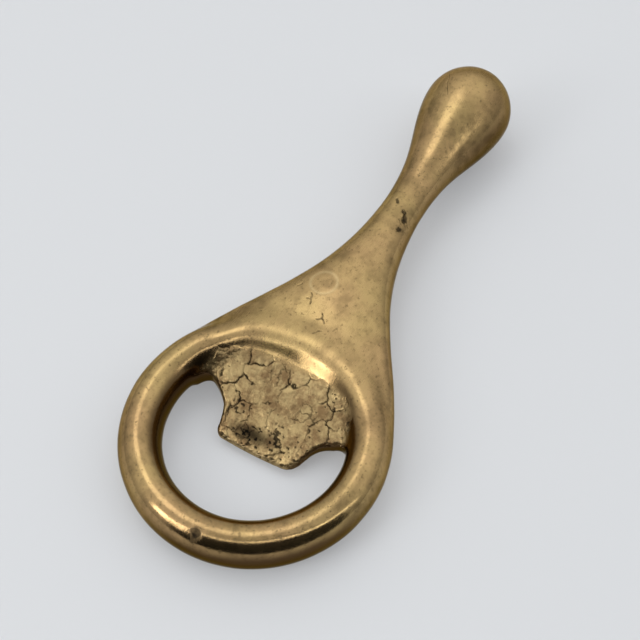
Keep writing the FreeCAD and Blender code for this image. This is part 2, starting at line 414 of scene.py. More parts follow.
@dataclass
class PryTongue:
    """The tongue: a plan outline between a curved top and an arched underside."""

    tip_x: float = -2.2
    edge_round: float = 0.9
    reach: float = 27.0
    margin: float = 9.0
    root_fill: float = 0.085
    root_start: tuple[float, float] = (6.0, 15.0)
    top_arc: tuple[Point, Point, Point] = ((-3.0, -4.6), (7.5, 0.75), (25.0, 2.75))
    underside_arc: tuple[Point, Point, Point] = ((-3.0, -5.5), (9.0, -2.8), (25.0, -3.9))

    def __post_init__(self) -> None:
        """Work the outline's distance out once."""
        low, high = (self.tip_x - self.margin, -self.reach), (self.reach, self.reach)
        self.plan = PlanDistance(self.outline(), low, high)

    def outline(self) -> Array:
        """Closed plan outline, from the tip round one side and back along the other.

        Each run is a circle arc from the last corner through a place on the way to the next.

        Returns:
            The outline's points, one a row.
        """
        runs = (
            ((self.tip_x, 0.0), (-1.9, 7.6), 12),
            ((-1.3, 8.7), (0.2, 9.2), 8),
            ((2.2, 9.55), (3.9, 10.1), 4),
            ((6.3, 12.5), (7.8, 14.9), 10),
            ((7.9, 16.4), (6.6, 18.2), 8),
            ((23.8, 0.0), (6.6, -18.9), 24),
            ((6.7, -17.0), (5.8, -14.9), 8),
            ((4.4, -12.5), (2.0, -10.9), 8),
            ((1.55, -10.72), (1.0, -10.4), 4),
            ((-1.15, -9.0), (-2.05, -6.4), 10),
        )
        corner = runs[-1][1]
        pieces = []
        for middle, end, count in runs:
            pieces.append(arc_through(corner, middle, end, count))
            corner = end
        return np.vstack(pieces)

    def top(self, x: Array, y: Array) -> Array:
        """Height of the tongue's top: an arc from the tip up, filled in at its left root."""
        filled = self.root_fill * np.clip(y, 0.0, 16.0) * smoothstep(*self.root_start, x)
        return self._arc(x, self.top_arc) + filled

    def underside(self, x: Array) -> Array:
        """Height of the tongue's underside: a shallow arch."""
        return self._arc(x, self.underside_arc)

    @staticmethod
    def _arc(x: Array, places: tuple[Point, Point, Point]) -> Array:
        """Height of the circle through three places of the side view, upper branch."""
        centre, radius = circle_through(*np.array(places))
        return centre[1] + np.sqrt(np.maximum(radius ** 2 - (x - centre[0]) ** 2, 0.0))

    def distance(self, p: Array) -> Array:
        """Distance to the tongue: the outline cut by its top and underside, edges rounded.

        Args:
            p: points, one a row.

        Returns:
            One distance for each point, negative inside, and the margin far from the tongue.
        """
        result = np.full(len(p), self.margin)
        near = (np.hypot(p[:, 0], p[:, 1]) < self.reach) & (p[:, 0] > self.tip_x - self.margin)
        q = p[near]
        side = self.plan.at(q[:, 0], q[:, 1])
        top = (q[:, 2] - self.top(q[:, 0], q[:, 1])) * 0.9
        low = (self.underside(q[:, 0]) - q[:, 2]) * 0.95
        slab = soft_max(top, low, self.edge_round)
        result[near] = soft_max(slab, side, self.edge_round)
        return result


@dataclass
class CastingShape:
    """The blended members: one closed skin where the joined distance is zero."""

    ring: RingBar = RingBar()
    tongue: PryTongue = field(default_factory=PryTongue)
    side_fillet: float = 0.6
    middle_fillet: float = 3.0
    recess_fillet: float = 1.8
    left_recess_fillet: float = 0.7
    underside_fillet: float = 2.4
    box_low: tuple[float, float, float] = (-29.5, -29.5, -12.0)
    box_high: tuple[float, float, float] = (111.5, 29.5, 12.0)

    def __post_init__(self) -> None:
        """Make the handle, which starts from the ring's line."""
        self.handle = Handle(self.ring)

    def distance(self, p: Array) -> Array:
        """Joined distance: soft minimum of the members, so they meet in fillets.

        Args:
            p: points, one a row.

        Returns:
            One distance for each point, negative inside.
        """
        ease = self.side_fillet + self.middle_fillet * smoothstep(21.0, 12.0, np.abs(p[:, 1]))
        body = soft_min(self.ring.distance(p), self.handle.distance(p), ease)
        above = self.recess_fillet + self.left_recess_fillet * smoothstep(-3.0, 9.0, p[:, 1])
        root = np.where(p[:, 2] > 0.0, above, self.underside_fillet)
        return soft_min(body, self.tongue.distance(p), root)

    def normal(self, p: Array, step: float = 0.02) -> tuple[Array, Array]:
        """Distance and its slope.

        Args:
            p: points, one a row.
            step: how far along each axis the distance is read again.

        Returns:
            The distance, and its slope along each axis.
        """
        value = self.distance(p)
        slope = np.stack([(self.distance(p + step * axis) - value) / step for axis in np.eye(3)], 1)
        return value, slope

    def settle(self, p: Array, rounds: int) -> Array:
        """Move points onto the skin along the slope, by Newton's steps.

        Args:
            p: points near the skin.
            rounds: how many steps.

        Returns:
            The moved points.
        """
        for _ in range(rounds):
            value, slope = self.normal(p)
            p = p - slope * (value / np.maximum((slope ** 2).sum(1), 0.05))[:, None]
        return p

    def skin(self, cell: float) -> tuple[Array, Array]:
        """Closed triangle skin of the zero distance.

        A cubic lattice is laid over the box. Each lattice cube whose corners differ in sign
        gets one point, and each lattice edge whose ends differ joins its four cubes in a quad,
        split in two.

        Args:
            cell: lattice spacing.

        Returns:
            Points and triangles.
        """
        low, high = np.array(self.box_low), np.array(self.box_high)
        counts = np.ceil((high - low) / cell).astype(int) + 1
        axes = [low[k] + cell * np.arange(counts[k]) for k in range(3)]
        lattice = np.stack(np.meshgrid(*axes, indexing="ij"), -1)
        value = self.distance(lattice.reshape(-1, 3)).reshape(counts)
        used, places = self._cube_points(value)
        number = np.full(used.shape, -1)
        number[used] = np.arange(used.sum())
        quads = self._quads(value < 0.0, number)
        return low + cell * places, np.vstack([quads[:, [0, 1, 2]], quads[:, [0, 2, 3]]])

    @staticmethod
    def _cube_points(value: Array) -> tuple[Array, Array]:
        """One place in each cube that the skin crosses: the mean of its edges' crossings.

        Args:
            value: distance at each lattice corner.

        Returns:
            Which cubes are crossed, and their places in cells from the box's low corner.
        """
        total = np.zeros(tuple(np.array(value.shape) - 1) + (3,))
        hits = np.zeros(total.shape[:3])
        for axis in range(3):
            a = np.moveaxis(value, axis, 0)
            crossing = np.moveaxis((a[:-1] < 0) != (a[1:] < 0), 0, axis)
            with np.errstate(divide="ignore", invalid="ignore"):
                part = np.moveaxis(a[:-1] / (a[:-1] - a[1:]), 0, axis)
            part = np.where(crossing, part, 0.0)
            others = [k for k in range(3) if k != axis]
            for shift in range(4):
                window = [slice(None)] * 3
                offset = np.zeros(3)
                for bit, other in enumerate(others):
                    far = shift >> bit & 1
                    offset[other] = far
                    window[other] = slice(1, None) if far else slice(0, -1)
                hit = crossing[tuple(window)]
                hits += hit
                total += hit[..., None] * offset
                total[..., axis] += np.where(hit, part[tuple(window)], 0.0)
        used = hits > 0
        return used, np.stack(np.nonzero(used), 1) + total[used] / hits[used][:, None]

    @staticmethod
    def _quads(solid: Array, number: Array) -> Array:
        """Quads round the lattice edges that leave the solid, outside out.

        Args:
            solid: whether each lattice corner is inside.
            number: each cube's point number.

        Returns:
            Four point numbers a row.
        """
        quads = []
        for axis in range(3):
            order = [axis, (axis + 1) % 3, (axis + 2) % 3]
            s = np.moveaxis(solid, order, [0, 1, 2])
            n = np.moveaxis(number, order, [0, 1, 2])
            i, j, k = np.nonzero(s[:-1, 1:-1, 1:-1] != s[1:, 1:-1, 1:-1])
            ring = np.stack([n[i, j, k], n[i, j + 1, k], n[i, j + 1, k + 1], n[i, j, k + 1]], 1)
            outward = s[i, j + 1, k + 1]
            quads.append(np.where(outward[:, None], ring, ring[:, ::-1]))
        return np.vstack(quads)


def split_edges(points: Array, faces: Array, chosen: Array) -> tuple[Array, Array]:
    """Halve every edge of the chosen triangles, with their neighbours cut to match.

    A triangle's code adds 1, 2 and 4 for its first, second and third edge when that is halved.

    Args:
        points: mesh points.
        faces: triangles.
        chosen: which triangles are refined.

    Returns:
        New points and triangles, with no gaps between fine and coarse.
    """
    pairs = np.stack([faces, np.roll(faces, -1, 1)], -1)
    keys, where = np.unique(np.sort(pairs, -1).reshape(-1, 2), axis=0, return_inverse=True)
    where = where.reshape(-1, 3)
    split = np.zeros(len(keys), bool)
    split[where[chosen].ravel()] = True
    number = np.full(len(keys), -1)
    number[split] = len(points) + np.arange(split.sum())
    fresh = points[keys[split]].mean(1)
    middle = number[where]
    code = ((middle >= 0) * (1, 2, 4)).sum(1)
    out = [faces[code == 0]]
    whole = code == 7
    (a, b, c), (ab, bc, ca) = faces[whole].T, middle[whole].T
    out += [np.stack(t, 1) for t in ((a, ab, ca), (ab, b, bc), (ca, bc, c), (ab, bc, ca))]
    for turn in range(3):
        spun, mids = np.roll(faces, -turn, 1), np.roll(middle, -turn, 1)
        one = code == 1 << turn
        (a, b, c), ab = spun[one].T, mids[one, 0]
        out += [np.stack(t, 1) for t in ((a, ab, c), (ab, b, c))]
        two = code == (1 << turn) + (1 << (turn + 1) % 3)
        (a, b, c), (ab, bc) = spun[two].T, mids[two, :2].T
        out += [np.stack(t, 1) for t in ((ab, b, bc), (a, ab, bc), (a, bc, c))]
    return np.vstack([points, fresh]), np.vstack(out)


# ---------------------------------------------------------------- wear and casting marks

@dataclass(frozen=True)
class Blemish:
    """A small hollow with a ragged edge at a place on the casting's upper side."""

    x: float
    y: float
    radius: float
    depth: float
    stretch: float = 1.0
    turn: float = 0.0
    ragged: float = 0.42

    def hollow(self, p: Array, ragged: Array) -> Array:
        """How far a place is in the hollow, 0 to 1: an oval measure with noise added to it.

        Args:
            p: points, one a row.
            ragged: noise that frays the edge.

        Returns:
            One number for each point.
        """
        c, s = math.cos(self.turn), math.sin(self.turn)
        dx, dy = p[:, 0] - self.x, p[:, 1] - self.y
        along, across = (c * dx + s * dy) / self.stretch, -s * dx + c * dy
        reach = np.hypot(along, across) / self.radius + self.ragged * ragged
        return smoothstep(1.0, 0.45, reach)


@dataclass(frozen=True)
class HairCrack:
    """A fine crack along straight runs between points of the plan."""

    points: tuple[Point, ...]
    width: float = 0.13

    def distance(self, p: Array) -> Array:
        """Least distance in plan to the runs.

        Args:
            p: points, one a row.

        Returns:
            One distance for each point.
        """
        reach = np.full(len(p), FAR)
        for start, end in zip(self.points, self.points[1:]):
            run = np.subtract(end, start)
            away = p[:, :2] - start
            t = np.clip(away @ run / (run @ run), 0.0, 1.0)
            reach = np.minimum(reach, np.linalg.norm(away - t[:, None] * run, axis=1))
        return reach


@dataclass(frozen=True)
class Stain:
    """A tarnished patch round a place of the upper side."""

    x: float
    y: float
    radius: float
    strength: float


@dataclass
class CastSurface:
    """Casting flaws and wear, as a height along the skin and masks for the finish."""

    shape: CastingShape
    crack_cell: float = 4.3
    crack_bend: float = 0.7
    crack_depth: float = 0.22
    fine_scale: float = 1.9
    fine_shift: float = 31.0
    plate_rise: float = 0.09
    plate_crown: float = 0.06
    pit_depth: float = 0.09
    hair_depth: float = 0.16
    foot_x: float = 16.3
    foot_y: float = -0.8
    foot_spread: float = 10.3
    # Plan direction away from the camera; faces turned against it get the most painted shade.
    front: Point = (0.86, 0.51)
    stamp: tuple[float, float, float] = (36.4, 4.1, 2.9)
    stamp_rim: float = 0.33
    stamp_depth: float = 0.03
    detail_margin: float = 0.8
    handwork: Swell = Swell(0.07, Draw.HANDWORK, 9.0)
    dimples: Swell = Swell(0.024, Draw.DIMPLES, 3.6)
    tongue_swell: Swell = Swell(0.05, Draw.TONGUE_SWELL, 2.4, 2)
    tongue_skin: Swell = Swell(0.048, Draw.TONGUE_SKIN, 0.8, 2)
    blemishes: tuple[Blemish, ...] = (
        Blemish(60.6, -2.9, 1.05, 0.26, 1.6, 0.25),
        Blemish(62.0, -2.1, 0.6, 0.2, 1.4, 0.9),
        Blemish(57.6, -3.2, 0.8, 0.16, 1.5, -0.3),
        Blemish(64.0, 0.6, 0.5, 0.1, 2.2, 0.6),
        Blemish(-25.4, -2.0, 1.45, 0.035, 1.15, 0.4, 0.22),
    )
    hair_cracks: tuple[HairCrack, ...] = (
        HairCrack(((27.5, -0.9), (28.1, -0.4), (28.3, 0.1), (28.9, 0.2), (29.4, 0.6)), 0.1),
        HairCrack(((28.3, 0.1), (27.8, 0.6), (27.6, 1.1)), 0.09),
        HairCrack(((24.1, 0.0), (24.7, -0.5), (25.2, -0.7), (25.6, -1.4)), 0.1),
        HairCrack(((30.3, 4.1), (31.0, 4.2), (31.5, 4.6), (32.4, 4.7), (33.0, 5.3)), 0.1),
        HairCrack(((31.5, 4.6), (31.3, 5.4)), 0.09),
        HairCrack(((33.4, 9.0), (34.0, 8.4), (34.5, 8.3)), 0.09),
        HairCrack(((94.0, 3.2), (95.6, 4.1), (97.4, 5.0), (99.0, 5.2), (100.5, 5.8)), 0.07),
    )
    stains: tuple[Stain, ...] = (
        Stain(18.0, 20.5, 6.5, 0.85), Stain(25.0, 15.0, 4.0, 0.5), Stain(90.0, -9.0, 11.0, 0.75),
        Stain(88.0, 6.5, 8.0, 0.7), Stain(-4.0, -24.0, 8.0, 0.65), Stain(-24.0, -7.0, 7.0, 0.6),
        Stain(61.0, -3.5, 5.0, 0.6), Stain(-14.0, 18.0, 8.0, 0.55), Stain(71.0, 2.0, 7.0, 0.55),
        Stain(98.0, 1.0, 7.0, 0.35), Stain(12.0, -24.0, 7.0, 0.35), Stain(45.0, 7.0, 5.0, 0.3),
    )

    def on_tongue(self, p: Array, slope: Array) -> Array:
        """Mask of the tongue's rough top: 1 on it, fading up the recess and over its edges.

        Args:
            p: points on the skin.
            slope: the distance's slope there.

        Returns:
            The mask at each point.
        """
        mask = np.zeros(len(p))
        near = (np.hypot(p[:, 0], p[:, 1]) < 22.5) & (p[:, 0] > -3.5)
        q = p[near]
        tongue = self.shape.tongue
        side = tongue.plan.at(q[:, 0], q[:, 1])
        rise = q[:, 2] - tongue.top(q[:, 0], q[:, 1])
        foot = self.foot_x - (np.abs(q[:, 1] - self.foot_y) / self.foot_spread) ** 2.7
        edge = smoothstep(0.9, -0.3, side)
        recess = smoothstep(2.0, 0.8, rise) * smoothstep(0.8, -0.8, q[:, 0] - foot)
        facing = smoothstep(0.0, 0.5, slope[near, 2])
        mask[near] = edge * recess * facing
        return mask

    def plates(self, p: Array) -> tuple[Array, Array]:
        """Mud-crack pattern in plan.

        Centres are a jittered square lattice. The crack distance is half the difference of the
        distances to the two nearest centres.

        Args:
            p: points, one a row.

        Returns:
            Distance to the nearest crack, and a number from -1 to 1 for each plate.
        """
        bends = [Grain(draw).at(p, 2.0, 3) for draw in (Draw.CRACK_BENDS_X, Draw.CRACK_BENDS_Y)]
        uv = (p[:, :2] + np.stack(bends, 1) * self.crack_bend) / self.crack_cell
        base = np.floor(uv).astype(int)
        jitter = np.random.default_rng(int(Draw.PLATE_PLACES)).uniform(0.06, 0.94, (64, 64, 2))
        tone = np.random.default_rng(int(Draw.PLATE_TONES)).uniform(-1.0, 1.0, (64, 64))
        first = np.full(len(p), FAR)
        second = np.full(len(p), FAR)
        plate = np.zeros(len(p))
        for i in range(-1, 2):
            for j in range(-1, 2):
                cell = base + (i, j)
                a, b = (cell % 64).T
                reach = np.linalg.norm(cell + jitter[a, b] - uv, axis=1)
                nearer = reach < first
                second = np.where(nearer, first, np.minimum(second, reach))
                plate = np.where(nearer, tone[a, b], plate)
                first = np.where(nearer, reach, first)
        return (second - first) * 0.5 * self.crack_cell, plate

    def tongue_relief(self, p: Array, tongue: Array) -> tuple[Array, Array]:
        """Plates, broken cracks and pits of the tongue's top, the dirt in them, and a darker patch
        near the tip.

        A crack is a narrow step of the crack distance, kept only where coarse noise is high.

        Args:
            p: points, one a row.
            tongue: mask of the tongue's top.

        Returns:
            Height along the normal, and darkness of the grime.
        """
        tip = smoothstep(8.0, 0.0, p[:, 0])
        crack, plate = self.plates(p)
        breaks = Grain(Draw.CRACK_BREAKS).at(p, 4.2, 2) + 0.1 - 0.6 * tip
        broken = smoothstep(-0.05, 0.5, breaks)
        fine = self.plates(p * self.fine_scale + self.fine_shift)[0] / self.fine_scale
        fine_part = smoothstep(0.3, 0.7, Grain(Draw.FINE_CRACK_BREAKS).at(p, 5.0, 2))
        line = np.maximum(smoothstep(0.17, 0.03, crack) * broken,
                          0.5 * smoothstep(0.14, 0.03, fine) * fine_part)
        clusters = 0.6 * Grain(Draw.PIT_CLUSTERS).at(p, 2.6) - 0.45 + 0.35 * tip
        pits = smoothstep(0.25, 0.7, Grain(Draw.PITS).at(p, 0.6, 2) + clusters)
        lift = (self.tongue_swell.at(p) + self.tongue_skin.at(p)
                + self.plate_rise * plate - self.crack_depth * line
                + self.plate_crown * broken * smoothstep(0.0, 0.9, crack)
                - self.pit_depth * pits)
        # A darker patch on the tongue's top near its tip, added to the grime mask.
        tip_dark_patch = tongue * np.exp(-(((p[:, 0] - 1.0) / 1.3) ** 2 + ((p[:, 1] - 1.5) / 4.2) ** 2))
        grime = tongue * np.clip(0.85 * line + 0.7 * pits + 0.75 * tip_dark_patch, 0.0, 1.0)
        return tongue * lift, grime

    def flaws(self, p: Array) -> tuple[Array, Array, Array]:
        """The single flaws: blown pits, hair cracks and a worn blank stamp.

        A hair crack's hollow is a narrow bell curve of the distance to its line, and the
        stamp's rim is one of the distance to its circle.

        Args:
            p: points, one a row.

        Returns:
            Depth, darkness, and the stamp's mark: above 0 on its rim, below 0 where it is worn.
        """
        depth, dark = np.zeros(len(p)), np.zeros(len(p))
        upper = p[:, 2] > 0
        broken = 0.5 + 0.5 * smoothstep(-0.4, 0.2, Grain(Draw.HAIR_CRACK_BREAKS).at(p, 0.5, 2))
        for crack in self.hair_cracks:
            hollow = upper * broken * np.exp(-((crack.distance(p) / crack.width) ** 2))
            depth += self.hair_depth * hollow
            dark = np.maximum(dark, 0.85 * hollow)
        ragged = Grain(Draw.FLAW_EDGES).at(p, 0.8, 4)
        for flaw in self.blemishes:
            hollow = upper * flaw.hollow(p, ragged)
            depth += flaw.depth * hollow
            dark = np.maximum(dark, hollow * (0.8 + 0.2 * ragged))
        x, y, radius = self.stamp
        dx, dy = p[:, 0] - x, p[:, 1] - y
        reach = np.hypot(dx, dy)
        rim = upper * np.exp(-(((reach - radius) / self.stamp_rim) ** 2))
        depth += self.stamp_depth * (upper * smoothstep(radius, radius - 0.5, reach) + rim)
        worn = upper * smoothstep(0.9, 0.3, np.hypot(dx + 0.4, dy + 0.5) / 1.9 + 0.4 * ragged)
        return depth, dark, 0.8 * rim - 0.55 * worn

    def tarnish(self, p: Array, slope: Array, tongue: Array) -> tuple[Array, Array]:
        """Painted shade on faces turned down or towards the camera and, mottled, on the bulb's
        side; dark tarnish on the eye's inner wall; and the stained patches.

        Args:
            p: points on the skin.
            slope: outward normal there.
            tongue: mask of the tongue's top.

        Returns:
            The mask of dark tarnish with painted shade, and the stain mask.
        """
        patchy = Grain(Draw.TARNISH_PATCHES).at(p, 14.0, 3)
        radius = np.hypot(p[:, 0], p[:, 1])
        inward = -(slope[:, 0] * p[:, 0] + slope[:, 1] * p[:, 1]) / np.maximum(radius, 1.0)
        eye_wall = smoothstep(0.45, 0.85, inward + 0.1 * patchy) * (radius < 23.0)
        level = np.maximum(np.hypot(slope[:, 0], slope[:, 1]), 1e-3)
        forward = -(slope[:, :2] @ self.front) / level
        # Painted shade: faces turned down are darkened, most of all those turned towards the
        # camera, as if mirroring the dark side of the room.
        under = smoothstep(0.66, 0.22, slope[:, 2] + 0.12 * patchy)
        under *= 0.3 + 0.7 * smoothstep(0.55, 0.88, forward + 0.1 * patchy)
        # Painted shade with mottled tarnish: the bulb's side facing -Y is darkened, as the side
        # turned from the light.
        bulb_side_shade = smoothstep(-0.1, 0.75, -slope[:, 1] * (p[:, 0] > 75.0)) * (0.5 + 0.5 * patchy)
        # One mask: the painted shade from below and on the bulb's side, with the eye wall's dark
        # tarnish.
        patina_and_shade = 0.97 * under + 0.8 * eye_wall * (1.0 - tongue) + 0.3 * bulb_side_shade
        stained = np.zeros(len(p))
        for stain in self.stains:
            reach = np.linalg.norm(p - (stain.x, stain.y, 3.0), axis=1) / stain.radius
            patch = stain.strength * smoothstep(1.25, 0.3, reach + 0.3 * patchy)
            stained = np.maximum(stained, patch)
        blotch = smoothstep(-0.2, 0.7, Grain(Draw.TARNISH_BLOTCHES).at(p, 1.6, 5))
        return np.clip(patina_and_shade, 0.0, 1.0), stained * (0.3 + 0.7 * blotch)

    def satin(self, p: Array, slope: Array, tongue: Array) -> Array:
        """Where handling left the brass duller: the shoulder's flat and the bulb.

        Args:
            p: points on the skin.
            slope: outward normal there.
            tongue: mask of the tongue's top.

        Returns:
            The mask at each point.
        """
        flat = smoothstep(12.0, 20.0, p[:, 0]) * smoothstep(62.0, 48.0, p[:, 0])
        shoulder = flat * smoothstep(0.75, 0.93, slope[:, 2]) * (1.0 - tongue)
        return np.maximum(shoulder, 0.55 * smoothstep(64.0, 80.0, p[:, 0]))

    def rubbed_lip(self, p: Array) -> Array:
        """Where caps have rubbed the tongue's tip bare: its lower edge."""
        lip = smoothstep(0.7, 0.0, np.abs(p[:, 0] + 1.9))
        return lip * (np.abs(p[:, 1]) < 9.5) * (p[:, 2] < 0)

    def height(self, p: Array, slope: Array) -> tuple[Array, dict[str, Array]]:
        """Height along the outward normal, and the finish's masks.

        Args:
            p: points on the smooth skin.
            slope: outward normal there.

        Returns:
            The height, and the masks: grime, rough, rub, dark tarnish with painted shade, satin,
                mark and stain.
        """
        tongue = self.on_tongue(p, slope)
        relief, dirt = self.tongue_relief(p, tongue)
        depth, dark, mark = self.flaws(p)
        grime = np.maximum(dirt, dark)
        patina_and_shade, stain = self.tarnish(p, slope, tongue)
        return self.handwork.at(p) + self.dimples.at(p) + relief - depth, {
            "grime": grime, "rough": tongue, "rub": self.rubbed_lip(p) * (1.0 - grime),
            "patina_and_shade": patina_and_shade, "satin": self.satin(p, slope, tongue), "mark": mark,
            "stain": stain}

    def detail_wanted(self, p: Array, slope: Array) -> Array:
        """Where the mesh needs finer triangles: the tongue's top and the single flaws.

        Args:
            p: points on the skin.
            slope: the distance's slope there.

        Returns:
            True or false for each point.
        """
        upper = p[:, 2] > 0
        wanted = self.on_tongue(p, slope) > 0.05
        for flaw in self.blemishes:
            reach = np.hypot(p[:, 0] - flaw.x, p[:, 1] - flaw.y)
            wanted |= (reach < flaw.radius * flaw.stretch + self.detail_margin) & upper
        for crack in self.hair_cracks:
            wanted |= (crack.distance(p) < 0.7) & upper
        x, y, radius = self.stamp
        reach = np.hypot(p[:, 0] - x, p[:, 1] - y)
        return wanted | ((reach < radius + self.detail_margin) & upper)


# ---------------------------------------------------------------- finish, stage and light

class Tint(Enum):
    """Linear colours of the finish and the stage."""

    BRASS = (0.44, 0.307, 0.130)
    COPPERY = (0.44, 0.283, 0.132)
    TARNISH = (0.17, 0.115, 0.05)
    AS_CAST = (0.37, 0.268, 0.125)
    AS_CAST_BROWN = (0.19, 0.12, 0.055)
    # Dark brown for tarnish in the eye and for painted shade below and on the bulb's side.
    PATINA_AND_SHADE = (0.080, 0.045, 0.021)
    GRIME = (0.024, 0.019, 0.013)
    BARE = (0.62, 0.47, 0.24)
    EDGE_SHEEN = (0.62, 0.55, 0.42)
    TABLE = (0.45, 0.457, 0.467)
    DAYLIGHT = (0.97, 0.985, 1.0)

    @property
    def rgba(self) -> tuple[float, float, float, float]:
        """The colour with full alpha."""
        return (*self.value, 1.0)


class Nodes:
    """Short way to add and join nodes in one shader tree."""

    def __init__(self, owner: bpy.types.Material | bpy.types.World) -> None:
        """Empty the owner's node tree.

        Args:
            owner: the material or world that the nodes belong to.
        """
        owner.use_nodes = True
        self.tree = owner.node_tree
        self.tree.nodes.clear()

    def add(self, kind: str, **sockets: object) -> bpy.types.Node:
        """Add a node and set or link its sockets.

        Args:
            kind: the node's type.
            **sockets: a value or a link for each named socket, a double underscore for a space.

        Returns:
            The node.
        """
        node = self.tree.nodes.new(kind)
        for name, value in sockets.items():
            self.feed(node, name.replace("__", " "), value)
        return node

    def feed(self, node: bpy.types.Node, socket: str | int, value: object) -> None:
        """Set a socket to a number or colour, or link it from another node's output.

        Args:
            node: the node that is fed.
            socket: name or number of its input.
            value: a number, a tuple or an output socket.
        """
        if isinstance(value, Socket):
            self.tree.links.new(value, node.inputs[socket])
        else:
            node.inputs[socket].default_value = value

    def noise(self, vector: Socket, scale: float, detail: float, roughness: float = 0.55) -> Socket:
        """Noise texture factor at a scale in waves per metre."""
        return self.add("ShaderNodeTexNoise", Vector=vector, Scale=scale, Detail=detail,
                        Roughness=roughness).outputs["Fac"]

    def ease(self, value: Socket, low: float, high: float, out_low: float = 0.0,
             out_high: float = 1.0, smooth: bool = False) -> Socket:
        """Map a value from one range to another, clamped.

        Args:
            value: the value.
            low: where the first range starts.
            high: where it ends.
            out_low: result at low.
            out_high: result at high.
            smooth: ease in and out of the range's ends.

        Returns:
            The mapped value.
        """
        node = self.add("ShaderNodeMapRange", Value=value)
        if smooth:
            node.interpolation_type = "SMOOTHSTEP"
        for socket, number in enumerate((low, high, out_low, out_high), 1):
            self.feed(node, socket, number)
        return node.outputs[0]

    def blend(self, cover: Socket, under: object, over: object) -> Socket:
        """Mix two colours.

        Args:
            cover: how much of the upper colour shows.
            under: lower colour.
            over: upper colour.

        Returns:
            The mixed colour.
        """
        node = self.add("ShaderNodeMix")
        node.data_type = "RGBA"
        for socket, value in ((0, cover), (6, under), (7, over)):
            self.feed(node, socket, value)
        return node.outputs[2]

    def reckon(self, operation: str, a: object, b: object = 0.0) -> Socket:
        """Arithmetic on one or two values.

        Args:
            operation: name of the sum to do.
            a: first value.
            b: second value, where the sum needs it.

        Returns:
            The result.
        """
        node = self.add("ShaderNodeMath")
        node.operation = operation
        self.feed(node, 0, a)
        self.feed(node, 1, b)
        return node.outputs[0]

    def mask(self, name: str) -> Socket:
        """A mask stored on the mesh.

        Args:
            name: the mask's name.

        Returns:
            Its value at each place.
        """
        node = self.add("ShaderNodeAttribute")
        node.attribute_name = name
        return node.outputs["Fac"]


